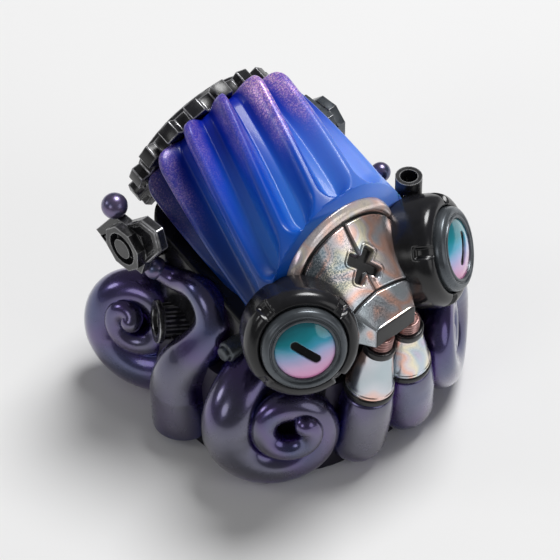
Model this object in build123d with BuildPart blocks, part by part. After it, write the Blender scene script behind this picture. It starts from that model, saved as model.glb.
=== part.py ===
from build123d import *
import os
from math import cos, pi, radians, sin

# Artisan keycap for a cross-stem key switch: an octopus whose eight arms form the
# skirt, with a ribbed glass-like head, a toothed collar, a mask and a pair of goggles.
# Millimetres. X to the keycap's right, -Y to the front, Z up. The origin is the middle
# of the stem's end face, level with the skirt's rim. Round forms are made of flat facets,
# within a few hundredths of the true round, so that the many coils stay light.

# Skirt and stem
skirt_width = 15.5
skirt_corner = 6.5
skirt_height = 6.2
skirt_top_width = 14.4
skirt_top_corner = 5.8
corner_points = 5
cavity_width = 13.9
cavity_corner = 6.0
cavity_depth = 4.4
stem_diameter = 5.5
cross_length = 4.1
cross_width = 1.2
socket_depth = 3.8

# Torso between the skirt and the head
torso_width = 13.0
torso_depth = 13.0
torso_corner = 4.5
torso_foot = 4.8
seat_width = 10.8
seat_depth = 11.2
seat_shift = -1.4
seat_corner = 2.0
face_width = 8.8
face_front = -6.9

# Head: a barrel that rises towards the back, with twisted ribs
head_pitch = 18.7
head_back_y = 6.35
head_back_z = 15.42
rib_count = 12
rib_samples = 6
rib_phase = 70.0
rib_twist = 33.0
rib_length = 9.7
rib_back_depth = 0.95
rib_front_depth = 0.6
rib_stations = 5
head_back_radius = 5.09
head_front_radius = 5.53
tip_radius = 4.3
tip_round = 0.95
tip_share = 0.3
tip_fill = 0.68
rib_fade = 1.1
seat_drop = 3.1
neck_length = 4.2
neck_radius = 5.2

# Toothed collar behind the head
gear_teeth = 16
gear_tip_radius = 5.3
gear_root_radius = 4.7
gear_tip_share = 0.46
gear_root_share = 0.42
gear_thickness = 1.0
gear_drop = 1.4
gear_flange_radius = 4.3
gear_flange = 0.35
gear_flange_width = 0.7
gear_sides = 32

# Mask, as three arches one in front of the other
mask_back = -4.27
mask_mid = -6.53
mask_nose = -9.1
mask_bottom = 10.1
rim_top = 16.6
rim_spring = 13.5
rim_half_width = 3.95
mid_top = 13.87
mid_spring = 12.5
mid_half_width = 2.95
nose_top = 11.55
nose_spring = 11.1
nose_half_width = 1.55
arch_steps = 12
lip_width = 0.55
lip_depth = 0.75
plus_length = 2.0
plus_width = 0.6
plus_depth = 0.5
seam_width = 0.2
seam_depth = 0.3
seam_length = 1.75

# Goggles: housing, bezel and lens share one axis
goggle_x = 6.06
goggle_y = -8.10
goggle_z = 12.22
goggle_yaw = 33.0
goggle_pitch = 20.0
goggle_sides = 36
lens_radius = 1.74
lens_rise = 0.3
lens_edge = -0.1
lens_rings = (0.82, 0.52, 0.2)
bezel_radius = 2.48
bezel_step_radius = 2.1
bezel_front = 0.05
bezel_step = -0.3
bezel_back = -1.0
ring_radius = 3.0
ring_front = -0.6
housing_radius = 3.35
housing_front = -1.05
housing_taper = -3.2
housing_back = -4.05
housing_back_radius = 2.7
notch_count = 4
notch_width = 0.55
notch_depth = 0.35
notch_length = 0.9
notch_angle = 40.0
pupil_length = 2.05
pupil_width = 0.55
pupil_slant = 38.0
pupil_floor = 0.05
pupil_sides = 8

# Front arms, each with a band and a cuff threaded on its core
leg_middle_x = 0.44
leg_foot_x = 1.9
leg_foot_y = -7.6
leg_foot_z = 1.75
leg_top_x = 1.1
leg_top_y = -8.55
leg_top_z = 9.2
leg_sides = 16
leg_radius = 1.75
leg_bulge = 1.72
leg_shoulder = 3.85
leg_shoulder_radius = 1.42
leg_dome = (70.0, 45.0, 20.0)
core_radius = 0.6
band_radius = 1.42
band_height = 0.45
cuff_height = 3.0
cuff_foot_radius = 1.34
cuff_top_radius = 0.88

# Arms: tubes built in spans, so that a turn may lie against the one outside it
arm_sides = 8
arm_end = 0.55
arm_end_step = 0.25
coil_points = 25
coil_spans = 3
coil_stations = 20
side_stations = 10
front_coil_lean = 5.5
front_coil_radii = (3.0, 0.8)
front_coil_start = 88.0
front_coil_turn = 635.0
front_coil_rise = 1.7
front_coil_drift = (1.1, 0.9)
front_arm_radii = (1.7, 1.6, 1.25, 0.75)
front_left_centre = (-5.7, -5.08, 3.45)
front_left_facing = 35.0
front_right_centre = (-5.86, -5.8, 3.8)
front_right_facing = 42.0
back_coil_lean = 18.0
back_coil_radii = (2.95, 0.75)
back_coil_start = -56.0
back_coil_turn = -650.0
back_coil_rise = 1.7
back_coil_drift = (-1.35, 0.4)
back_arm_radii = (1.7, 1.6, 1.25, 0.68)
back_centre = (-5.8, 5.6, 4.15)
back_facing = 64.0
side_arm_left_radii = (2.0, 1.9, 1.3, 0.5)
side_arm_right_radii = (2.0, 1.8, 1.2, 0.46)

# Knurled knob held by the left side arm
knob_x = 7.28
knob_y = 3.5
knob_z = 6.6
knob_radius = 1.15
knob_length = 2.4
knob_flange_radius = 1.3
knob_flange = 0.35
knob_bore = 0.8
knob_bore_depth = 0.5
knob_sides = 20
knurl_count = 12
knurl_depth = 0.16
knob_out = (-0.86, 0.49, 0.13)

# Side plates with an eight-sided nut, and the ball on the left one
plate_x = 7.0
plate_thickness = 0.6
nut_y = 5.2
nut_z = 12.0
nut_sides = 8
nut_radius = 1.5
nut_height = 0.6
nut_bore = 1.05
boss_radius = 0.65
boss_sides = 20
ball_radius = 0.7
ball_sides = 12
ball_rings = (-60.0, -20.0, 20.0, 60.0)
ball_y = 6.8
ball_lift = 0.45
plate_tip_y = 8.2
plate_tip_z = 11.0
plate_back_y = 6.6
plate_front_y = 4.2
plate_low_z = 10.3
plate_high_z = 13.3
plate_slope = 0.5
lug_radius = 0.9
lug_sides = 16
lug_y = 5.4
lug_z = 10.7

# Pipe behind the right goggle, and the bolt beside the left one
pipe_x = 6.25
pipe_y = -3.6
pipe_foot = 12.3
pipe_top = 14.7
pipe_radius = 0.8
pipe_bore = 0.52
pipe_bore_depth = 1.2
pipe_sides = 20
bolt_x = 6.45
bolt_y = -2.05
bolt_z = 7.85
bolt_radius = 0.42
bolt_head_radius = 0.55
bolt_length = 1.5
bolt_tip = 0.2
bolt_sides = 14

os.makedirs("parts", exist_ok=True)

# The head's frame: local Z runs forward along the barrel, local Y is its top side.
head_axis = Vector(0, -cos(radians(head_pitch)), -sin(radians(head_pitch)))
head_up = Vector(0, -sin(radians(head_pitch)), cos(radians(head_pitch)))
head_origin = Vector(0, head_back_y, head_back_z)
head_plane = Plane(origin=head_origin, x_dir=(1, 0, 0), z_dir=head_axis)
seat_plane = Plane(
    origin=head_origin + head_axis * (rib_length / 2) - head_up * seat_drop,
    x_dir=(1, 0, 0),
    z_dir=head_up,
)

# The left goggle's frame: local Z looks out of the lens, local X points to the nose.
goggle_out = Vector(
    -sin(radians(goggle_yaw)) * cos(radians(goggle_pitch)),
    -cos(radians(goggle_yaw)) * cos(radians(goggle_pitch)),
    sin(radians(goggle_pitch)),
)
goggle_in = Vector(cos(radians(goggle_yaw)), -sin(radians(goggle_yaw)), 0)
goggle_plane = Plane(origin=(-goggle_x, goggle_y, goggle_z), x_dir=goggle_in, z_dir=goggle_out)


def flat_face(*corners):
    return Face(Wire.make_polygon(corners))


def facet_solid(rings, loop=False, split=False):
    """Solid between rings of points. A loop joins the last ring to the first; otherwise
    the end rings are closed. split is for strips whose four corners aren't in one plane."""
    pairs = list(zip(rings, rings[1:]))
    faces = []
    if loop:
        pairs.append((rings[-1], rings[0]))
    else:
        faces = [flat_face(*rings[0]), flat_face(*rings[-1])]
    for low, high in pairs:
        for i in range(len(low)):
            j = (i + 1) % len(low)
            if split:
                faces.append(flat_face(low[i], low[j], high[j]))
                faces.append(flat_face(low[i], high[j], high[i]))
            else:
                faces.append(flat_face(low[i], low[j], high[j], high[i]))
    return Solid(Shell(faces))


def turned(frame, profile, sides, loop=False):
    """Turned solid on a frame's Z axis, from a profile of (radius, height) points."""
    turns = [2 * pi * i / sides for i in range(sides)]
    rings = []
    for r, h in profile:
        rings.append([frame.from_local_coords((r * cos(a), r * sin(a), h)) for a in turns])
    return facet_solid(rings, loop)


def rounded_ring(plane, width, depth, corner, shift=0.0):
    """Points round a rounded rectangle on a plane."""
    points = []
    for k, (sx, sy) in enumerate(((1, 1), (-1, 1), (-1, -1), (1, -1))):
        x = sx * (width / 2 - corner)
        y = sy * (depth / 2 - corner) + shift
        for i in range(corner_points):
            a = pi / 2 * (k + i / (corner_points - 1))
            points.append(plane.from_local_coords((x + corner * cos(a), y + corner * sin(a), 0)))
    return points


def leg_frame(side):
    """Frame of a front arm, with its Z up the arm from the middle of the foot."""
    foot = Vector(leg_middle_x + side * leg_foot_x, leg_foot_y, leg_foot_z)
    top = Vector(leg_middle_x + side * leg_top_x, leg_top_y, leg_top_z)
    return Plane(origin=foot, x_dir=(1, 0, 0), z_dir=top - foot)


def coil_axis(facing, lean):
    """Way that a left-hand coil looks: facing is in degrees from the front."""
    a, t = radians(facing), radians(lean)
    return Vector(-sin(a) * cos(t), -cos(a) * cos(t), sin(t))


def coil_route(centre, out, radii, start, turn, rise, drift):
    """Points of a left-hand arm that winds in on itself. start and turn are angles seen
    from outside; rise is how far the inner turn stands out; drift moves the inner turn
    across and up."""
    across = Vector(0, 0, 1).cross(out).normalized()
    up = out.cross(across)
    points = []
    for i in range(coil_points):
        s = i / (coil_points - 1)
        g = radians(start + turn * s)
        r = radii[0] + (radii[1] - radii[0]) * s
        p = Vector(*centre) + across * (r * cos(g) + drift[0] * s)
        points.append(p + up * (r * sin(g) + drift[1] * s) + out * (rise * s))
    return points


def front_coil(centre, out):
    return coil_route(
        centre, out, front_coil_radii, front_coil_start, front_coil_turn, front_coil_rise, front_coil_drift
    )


def back_coil(centre, out):
    return coil_route(
        centre, out, back_coil_radii, back_coil_start, back_coil_turn, back_coil_rise, back_coil_drift
    )


def radius_at(radii, u):
    """Radius at a share u of an arm's length, from radii at even steps."""
    at = u * (len(radii) - 1)
    k = min(int(at), len(radii) - 2)
    return radii[k] + (radii[k + 1] - radii[k]) * (at - k)


def arm_tubes(points, radii, across, stations, spans):
    """An arm along its route, from root to blunt tip. across keeps its facets from
    twisting."""
    route = Edge.make_spline(points)
    turns = [2 * pi * i / arm_sides for i in range(arm_sides)]
    rings = []
    for u in [i / stations for i in range(stations)] + [1 - arm_end_step / stations, 1]:
        r = radius_at(radii, u) * (arm_end if u == 1 else 1)
        frame = Plane(origin=route @ u, x_dir=across, z_dir=route % u)
        rings.append([frame.from_local_coords((r * cos(a), r * sin(a), 0)) for a in turns])
    last = len(rings) - 1
    cuts = [round(i * last / spans) for i in range(spans + 1)]
    return [facet_solid(rings[a : b + 1], split=True) for a, b in zip(cuts, cuts[1:])]


# Routes of the side arms: up from the floor and over the skirt
side_arm_left = [
    Vector(-7.2, 0.65, 0.4),
    Vector(-7.2, 0.4, 2.4),
    Vector(-7.05, 0.1, 4.85),
    Vector(-6.35, -0.1, 8.0),
    Vector(-5.75, 1.15, 9.9),
    Vector(-5.85, 3.1, 9.4),
    Vector(-6.5, 4.25, 9.6),
]
side_arm_right = [
    Vector(7.2, 0.65, 0.4),
    Vector(7.3, 0.9, 2.6),
    Vector(7.2, 1.3, 5.2),
    Vector(6.75, 1.1, 8.0),
    Vector(6.4, 0.1, 11.0),
    Vector(6.35, -1.15, 13.2),
]


def arch(half_width, spring, top):
    """Points of one of the mask's arches, on the mask's flat bottom."""
    points = [(half_width, mask_bottom)]
    for i in range(arch_steps + 1):
        a = pi * i / arch_steps
        points.append((half_width * cos(a), spring + (top - spring) * sin(a)))
    points.append((-half_width, mask_bottom))
    return points


def ribbed_ring(distance, crest, depth):
    """Points of the head's outline at a distance in front of its back end."""
    plane = head_plane.offset(distance)
    phase = radians(rib_phase + rib_twist * distance / rib_length)
    count = rib_count * rib_samples
    points = []
    for i in range(count):
        a = 2 * pi * i / count
        r = crest - depth * (1 - abs(cos(rib_count * a / 2)))
        points.append(plane.from_local_coords((r * cos(a + phase), r * sin(a + phase), 0)))
    return points


# Outer form of a goggle housing, also the seat that its neighbours are cut to
housing_profile = [
    (housing_back_radius, housing_back),
    (housing_radius, housing_taper),
    (housing_radius, housing_front),
    (ring_radius, ring_front),
]
goggle_blank = turned(goggle_plane, housing_profile, goggle_sides)
goggle_seats = [goggle_blank, goggle_blank.mirror(Plane.YZ)]

with BuildPart() as goggle_left:
    socket_profile = [(bezel_radius, ring_front), (bezel_radius, bezel_back)]
    add(turned(goggle_plane, housing_profile + socket_profile, goggle_sides))
    with BuildSketch(goggle_plane.offset(ring_front)):
        with PolarLocations(housing_radius, notch_count, start_angle=notch_angle):
            Rectangle(2 * notch_depth, notch_width)
    extrude(amount=-notch_length, mode=Mode.SUBTRACT)
    goggle_left.part.label = "goggle_left"
export_step(goggle_left.part, "parts/goggle_left.step")

with BuildPart() as bezel_left:
    bezel_profile = [
        (lens_radius, bezel_back),
        (bezel_radius, bezel_back),
        (bezel_radius, bezel_step),
        (bezel_step_radius, bezel_step),
        (bezel_step_radius, bezel_front),
        (lens_radius, lens_edge),
    ]
    add(turned(goggle_plane, bezel_profile, goggle_sides, loop=True))
    bezel_left.part.label = "bezel_left"
export_step(bezel_left.part, "parts/bezel_left.step")

with BuildPart() as lens_left:
    lens_profile = [(lens_radius, bezel_back), (lens_radius, lens_edge)]
    for share in lens_rings:
        lens_profile.append((lens_radius * share, lens_rise - (lens_rise - lens_edge) * share**2))
    add(turned(goggle_plane, lens_profile, goggle_sides))
    pupil_plane = goggle_plane.offset(pupil_floor).rotated((0, 0, -pupil_slant))
    pupil_reach = (pupil_length - pupil_width) / 2
    with BuildSketch(pupil_plane):
        Rectangle(2 * pupil_reach, pupil_width)
        with Locations((pupil_reach, 0), (-pupil_reach, 0)):
            RegularPolygon(pupil_width / 2, pupil_sides)
    extrude(amount=lens_rise, mode=Mode.SUBTRACT)
    lens_left.part.label = "lens_left"
export_step(lens_left.part, "parts/lens_left.step")

with BuildPart() as goggle_right:
    mirror(goggle_left.part, about=Plane.YZ)
    goggle_right.part.label = "goggle_right"
export_step(goggle_right.part, "parts/goggle_right.step")

with BuildPart() as bezel_right:
    mirror(bezel_left.part, about=Plane.YZ)
    bezel_right.part.label = "bezel_right"
export_step(bezel_right.part, "parts/bezel_right.step")

with BuildPart() as lens_right:
    mirror(lens_left.part, about=Plane.YZ)
    lens_right.part.label = "lens_right"
export_step(lens_right.part, "parts/lens_right.step")

# Ribbed head: rounded rib tips at the back, ribs that fade out towards the mask
with BuildPart() as ribbed_head:
    tip_shoulder = tip_radius + (head_back_radius - tip_radius) * tip_fill
    rings = [
        ribbed_ring(0, tip_radius, rib_back_depth),
        ribbed_ring(tip_round * tip_share, tip_shoulder, rib_back_depth),
    ]
    ribbed_end = rib_length - rib_fade
    for i in range(rib_stations + 1):
        share = i / rib_stations
        distance = tip_round + (ribbed_end - tip_round) * share
        crest = head_back_radius + (head_front_radius - head_back_radius) * share
        depth = rib_back_depth + (rib_front_depth - rib_back_depth) * share
        rings.append(ribbed_ring(distance, crest, depth))
    rings.append(ribbed_ring(rib_length, head_front_radius, rib_front_depth / 3))
    rings.append(ribbed_ring(rib_length + rib_fade, head_front_radius, 0))
    rings.append(ribbed_ring(rib_length + neck_length, neck_radius, 0))
    add(facet_solid(rings, split=True))
    split(bisect_by=Plane(origin=(0, mask_back, 0), z_dir=(0, 1, 0)), keep=Keep.TOP)
    split(bisect_by=seat_plane, keep=Keep.TOP)
    add(goggle_seats, mode=Mode.SUBTRACT)
    ribbed_head.part.label = "ribbed_head"
export_step(ribbed_head.part, "parts/ribbed_head.step")

# Toothed collar, flat against the head's back end, with a raised flange behind
gear_plane = Plane(origin=head_origin - head_up * gear_drop, x_dir=(1, 0, 0), z_dir=-head_axis)
tooth_points = []
for i in range(gear_teeth):
    step = 2 * pi / gear_teeth
    for radius, turn in (
        (gear_root_radius, i - gear_root_share / 2 - gear_tip_share),
        (gear_root_radius, i - gear_tip_share + gear_root_share / 2),
        (gear_tip_radius, i - gear_tip_share / 2),
        (gear_tip_radius, i + gear_tip_share / 2),
    ):
        tooth_points.append((radius * cos(turn * step), radius * sin(turn * step)))
with BuildPart() as gear_collar:
    with BuildSketch(gear_plane):
        with BuildLine():
            Polyline(*tooth_points, close=True)
        make_face()
    extrude(amount=gear_thickness)
    with BuildSketch(gear_plane.offset(gear_thickness)):
        RegularPolygon(gear_flange_radius, gear_sides)
        RegularPolygon(gear_flange_radius - gear_flange_width, gear_sides, mode=Mode.SUBTRACT)
    extrude(amount=gear_flange)
    gear_collar.part.label = "gear_collar"
export_step(gear_collar.part, "parts/gear_collar.step")

# Mask: three arches joined forward to the nose, with a raised rim, a seam and a cross
mask_slope = Vector(0, mask_mid - mask_back, mid_top - rim_top).normalized()
mask_face = Plane(origin=(0, mask_mid, mid_top), x_dir=(1, 0, 0), z_dir=(0, mask_slope.Z, -mask_slope.Y))
mask_plane = Plane(origin=(0, mask_back, 0), x_dir=(1, 0, 0), z_dir=(0, -1, 0))
with BuildPart() as mask_plate:
    rings = []
    for reach, points in (
        (0, arch(rim_half_width, rim_spring, rim_top)),
        (mask_back - mask_mid, arch(mid_half_width, mid_spring, mid_top)),
        (mask_back - mask_nose, arch(nose_half_width, nose_spring, nose_top)),
    ):
        rings.append([mask_plane.from_local_coords((x, z, reach)) for x, z in points])
    add(facet_solid(rings, split=True))
    with BuildSketch(mask_plane):
        with BuildLine():
            Polyline(*arch(rim_half_width, rim_spring, rim_top), close=True)
        make_face()
        with BuildLine():
            Polyline(*arch(rim_half_width - lip_width, rim_spring, rim_top - lip_width), close=True)
        make_face(mode=Mode.SUBTRACT)
    extrude(amount=lip_depth)
    with BuildSketch(mask_face):
        Rectangle(plus_length, plus_width)
        Rectangle(plus_width, plus_length)
    extrude(amount=plus_depth, both=True, mode=Mode.SUBTRACT)
    with BuildSketch(mask_face):
        with Locations((0, -seam_length / 2), (0, seam_length / 2)):
            Rectangle(seam_width, seam_length)
        with Locations((0, -seam_length)):
            Rectangle(2 * mid_half_width, seam_width)
    extrude(amount=seam_depth, both=True, mode=Mode.SUBTRACT)
    add(goggle_seats, mode=Mode.SUBTRACT)
    mask_plate.part.label = "mask_plate"
export_step(mask_plate.part, "parts/mask_plate.step")

# Cuffs and bands, threaded on the cores of the front arms
band_top = leg_shoulder + band_height
band_profile = [
    (core_radius, leg_shoulder),
    (band_radius, leg_shoulder),
    (band_radius, band_top),
    (core_radius, band_top),
]
cuff_profile = [
    (core_radius, band_top),
    (cuff_foot_radius, band_top),
    (cuff_top_radius, band_top + cuff_height),
    (core_radius, band_top + cuff_height),
]

with BuildPart() as cuff_left:
    add(turned(leg_frame(-1), cuff_profile, leg_sides, loop=True))
    cuff_left.part.label = "cuff_left"
export_step(cuff_left.part, "parts/cuff_left.step")

with BuildPart() as cuff_right:
    add(turned(leg_frame(1), cuff_profile, leg_sides, loop=True))
    cuff_right.part.label = "cuff_right"
export_step(cuff_right.part, "parts/cuff_right.step")

with BuildPart() as cuff_band_left:
    add(turned(leg_frame(-1), band_profile, leg_sides, loop=True))
    cuff_band_left.part.label = "cuff_band_left"
export_step(cuff_band_left.part, "parts/cuff_band_left.step")

with BuildPart() as cuff_band_right:
    add(turned(leg_frame(1), band_profile, leg_sides, loop=True))
    cuff_band_right.part.label = "cuff_band_right"
export_step(cuff_band_right.part, "parts/cuff_band_right.step")

# Knurled knob with an open flanged end; the blank is also its seat
knob_plane = Plane(origin=(-knob_x, knob_y, knob_z), x_dir=(0, 0, 1), z_dir=knob_out)
knurl_points = []
for i in range(2 * knurl_count):
    radius = knob_radius - (knurl_depth if i % 2 else 0)
    turn = pi * i / knurl_count
    knurl_points.append((radius * cos(turn), radius * sin(turn)))
with BuildPart() as knob_blank:
    with BuildSketch(knob_plane):
        with BuildLine():
            Polyline(*knurl_points, close=True)
        make_face()
    extrude(amount=-knob_length)
    with BuildSketch(knob_plane):
        RegularPolygon(knob_flange_radius, knob_sides)
    extrude(amount=-knob_flange)

with BuildPart() as knurled_knob:
    add(knob_blank.part)
    with BuildSketch(knob_plane):
        RegularPolygon(knob_bore, knob_sides)
    extrude(amount=-knob_bore_depth, mode=Mode.SUBTRACT)
    knurled_knob.part.label = "knurled_knob"
export_step(knurled_knob.part, "parts/knurled_knob.step")

# Pointed side plates with an eight-sided nut; the left one has a ball on its upper edge
plate_plane = Plane(origin=(-plate_x, 0, 0), x_dir=(0, -1, 0), z_dir=(-1, 0, 0))
ball_plane = Plane(origin=(-plate_x - plate_thickness / 2, ball_y, plate_high_z + ball_lift))
ball_profile = [(ball_radius * cos(radians(a)), ball_radius * sin(radians(a))) for a in ball_rings]
with BuildPart() as plate_blank:
    with BuildSketch(plate_plane):
        with BuildLine():
            Polyline(
                (-plate_tip_y, plate_tip_z),
                (-plate_back_y, plate_low_z),
                (-plate_front_y, plate_low_z),
                (-plate_front_y + plate_slope, nut_z),
                (-plate_front_y, plate_high_z),
                (-plate_back_y, plate_high_z),
                close=True,
            )
        make_face()
    extrude(amount=plate_thickness)
    with BuildSketch(plate_plane.offset(plate_thickness)):
        with Locations((-nut_y, nut_z)):
            RegularPolygon(nut_radius, nut_sides, rotation=180 / nut_sides)
            RegularPolygon(nut_bore, boss_sides, mode=Mode.SUBTRACT)
            RegularPolygon(boss_radius, boss_sides)
    extrude(amount=nut_height)

with BuildPart() as valve_plate_left:
    add(plate_blank.part)
    add(turned(ball_plane, ball_profile, ball_sides))
    valve_plate_left.part.label = "valve_plate_left"
export_step(valve_plate_left.part, "parts/valve_plate_left.step")

with BuildPart() as valve_plate_right:
    mirror(plate_blank.part, about=Plane.YZ)
    valve_plate_right.part.label = "valve_plate_right"
export_step(valve_plate_right.part, "parts/valve_plate_right.step")

# Open pipe that stands on the right goggle's housing
pipe_plane = Plane(origin=(pipe_x, pipe_y, pipe_top))
pipe_profile = [
    (pipe_radius, pipe_foot - pipe_top),
    (pipe_radius, 0),
    (pipe_bore, 0),
    (pipe_bore, -pipe_bore_depth),
]
with BuildPart() as breather_pipe:
    add(turned(pipe_plane, pipe_profile, pipe_sides))
    add(goggle_seats[1], mode=Mode.SUBTRACT)
    breather_pipe.part.label = "breather_pipe"
export_step(breather_pipe.part, "parts/breather_pipe.step")

# Bolt in the torso's side, beside the left goggle
bolt_plane = Plane(origin=(-bolt_x, bolt_y, bolt_z), x_dir=(0, -1, 0), z_dir=(-1, 0, 0))
bolt_profile = [
    (bolt_head_radius, -bolt_length),
    (bolt_head_radius, 0),
    (bolt_radius, 0),
    (bolt_radius, bolt_tip),
]
with BuildPart() as strap_bolt:
    add(turned(bolt_plane, bolt_profile, bolt_sides))
    strap_bolt.part.label = "strap_bolt"
export_step(strap_bolt.part, "parts/strap_bolt.step")

# Front arms: a bulb on the floor and a core that ends under the mask
leg_profile = [(leg_radius * cos(radians(a)), -leg_radius * sin(radians(a))) for a in leg_dome]
leg_profile += [
    (leg_radius, 0),
    (leg_bulge, leg_shoulder / 2),
    (leg_shoulder_radius, leg_shoulder),
    (core_radius, leg_shoulder),
    (core_radius, mask_bottom),
]
with BuildPart() as leg_left:
    add(turned(leg_frame(-1), leg_profile, leg_sides))
    split(bisect_by=Plane.XY.offset(mask_bottom), keep=Keep.BOTTOM)

with BuildPart() as leg_right:
    add(turned(leg_frame(1), leg_profile, leg_sides))
    split(bisect_by=Plane.XY.offset(mask_bottom), keep=Keep.BOTTOM)

# Base casting: skirt, stem, torso and arms in one, cut to the seats of the other pieces
with BuildPart() as arm_base:
    skirt_rim = rounded_ring(Plane.XY, skirt_width, skirt_width, skirt_corner)
    skirt_edge = Plane.XY.offset(skirt_height)
    skirt_top = rounded_ring(skirt_edge, skirt_top_width, skirt_top_width, skirt_top_corner)
    add(facet_solid([skirt_rim, skirt_top], split=True))
    torso_low = rounded_ring(Plane.XY.offset(torso_foot), torso_width, torso_depth, torso_corner)
    torso_top = rounded_ring(seat_plane, seat_width, seat_depth, seat_corner, seat_shift)
    add(facet_solid([torso_low, torso_top], split=True))
    with BuildSketch(Plane.XY.offset(torso_foot)):
        with Locations((0, (face_front + mask_back) / 2)):
            Rectangle(face_width, mask_back - face_front)
    extrude(amount=mask_bottom - torso_foot)
    with BuildSketch(Plane.YZ.offset(-plate_x)):
        with Locations((lug_y, lug_z)):
            RegularPolygon(lug_radius, lug_sides)
    extrude(amount=2 * plate_x)
    add([leg_left.part, leg_right.part])
    out = coil_axis(front_left_facing, front_coil_lean)
    add(arm_tubes(front_coil(front_left_centre, out), front_arm_radii, out, coil_stations, coil_spans))
    out = coil_axis(front_right_facing, front_coil_lean)
    route = front_coil(front_right_centre, out)
    front_right = arm_tubes(route, front_arm_radii, out, coil_stations, coil_spans)
    add([tube.mirror(Plane.YZ) for tube in front_right])
    out = coil_axis(back_facing, back_coil_lean)
    back_left = arm_tubes(back_coil(back_centre, out), back_arm_radii, out, coil_stations, coil_spans)
    add(back_left)
    add([tube.mirror(Plane.YZ) for tube in back_left])
    add(arm_tubes(side_arm_left, side_arm_left_radii, Vector(1, 0, 0), side_stations, 1))
    add(arm_tubes(side_arm_right, side_arm_right_radii, Vector(1, 0, 0), side_stations, 1))
    # Room under the skirt, round the stem
    with BuildSketch(Plane.XY):
        RectangleRounded(cavity_width, cavity_width, cavity_corner)
        Circle(stem_diameter / 2, mode=Mode.SUBTRACT)
    extrude(amount=cavity_depth, mode=Mode.SUBTRACT)
    with BuildSketch(Plane.XY):
        Rectangle(cross_length, cross_width)
        Rectangle(cross_width, cross_length)
    extrude(amount=socket_depth, mode=Mode.SUBTRACT)
    split(bisect_by=Plane.XY, keep=Keep.TOP)
    add(goggle_seats, mode=Mode.SUBTRACT)
    add([cuff_left.part, cuff_right.part, cuff_band_left.part, cuff_band_right.part], mode=Mode.SUBTRACT)
    add([mask_plate.part, knob_blank.part, strap_bolt.part], mode=Mode.SUBTRACT)
    arm_base.part.label = "arm_base"
export_step(arm_base.part, "parts/arm_base.step")
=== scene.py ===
import math
from contextlib import contextmanager

import bmesh
import bpy
import numpy as np
from mathutils import Matrix, Vector


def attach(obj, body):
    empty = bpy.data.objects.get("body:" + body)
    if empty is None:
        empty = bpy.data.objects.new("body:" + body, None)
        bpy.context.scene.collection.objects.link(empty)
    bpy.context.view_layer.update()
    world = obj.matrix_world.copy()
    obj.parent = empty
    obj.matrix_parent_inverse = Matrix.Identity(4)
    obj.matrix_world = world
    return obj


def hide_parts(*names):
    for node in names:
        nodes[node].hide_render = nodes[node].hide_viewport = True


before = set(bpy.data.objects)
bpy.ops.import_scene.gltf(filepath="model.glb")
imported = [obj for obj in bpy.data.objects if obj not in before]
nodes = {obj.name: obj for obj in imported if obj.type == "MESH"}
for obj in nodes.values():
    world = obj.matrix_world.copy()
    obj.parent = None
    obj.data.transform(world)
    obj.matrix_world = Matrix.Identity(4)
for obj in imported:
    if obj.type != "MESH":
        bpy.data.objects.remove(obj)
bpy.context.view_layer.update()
scene = bpy.context.scene

# An artisan keycap: an octopus in a toothed collar, a mask and goggles. Its pieces are drawn
# finer than the solids that they replace. Seen from the front, X goes right, Y to the back
# and Z up. Sizes are in millimetres, and become metres where Blender takes them.
MM = 0.001
EX, EY, EZ = np.eye(3)
SIDES = ((-1, "left"), (1, "right"))

# Sockets of a mix node that mixes colours
MIX_FACTOR, MIX_A, MIX_B, MIX_RESULT = 0, 6, 7, 2


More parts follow.
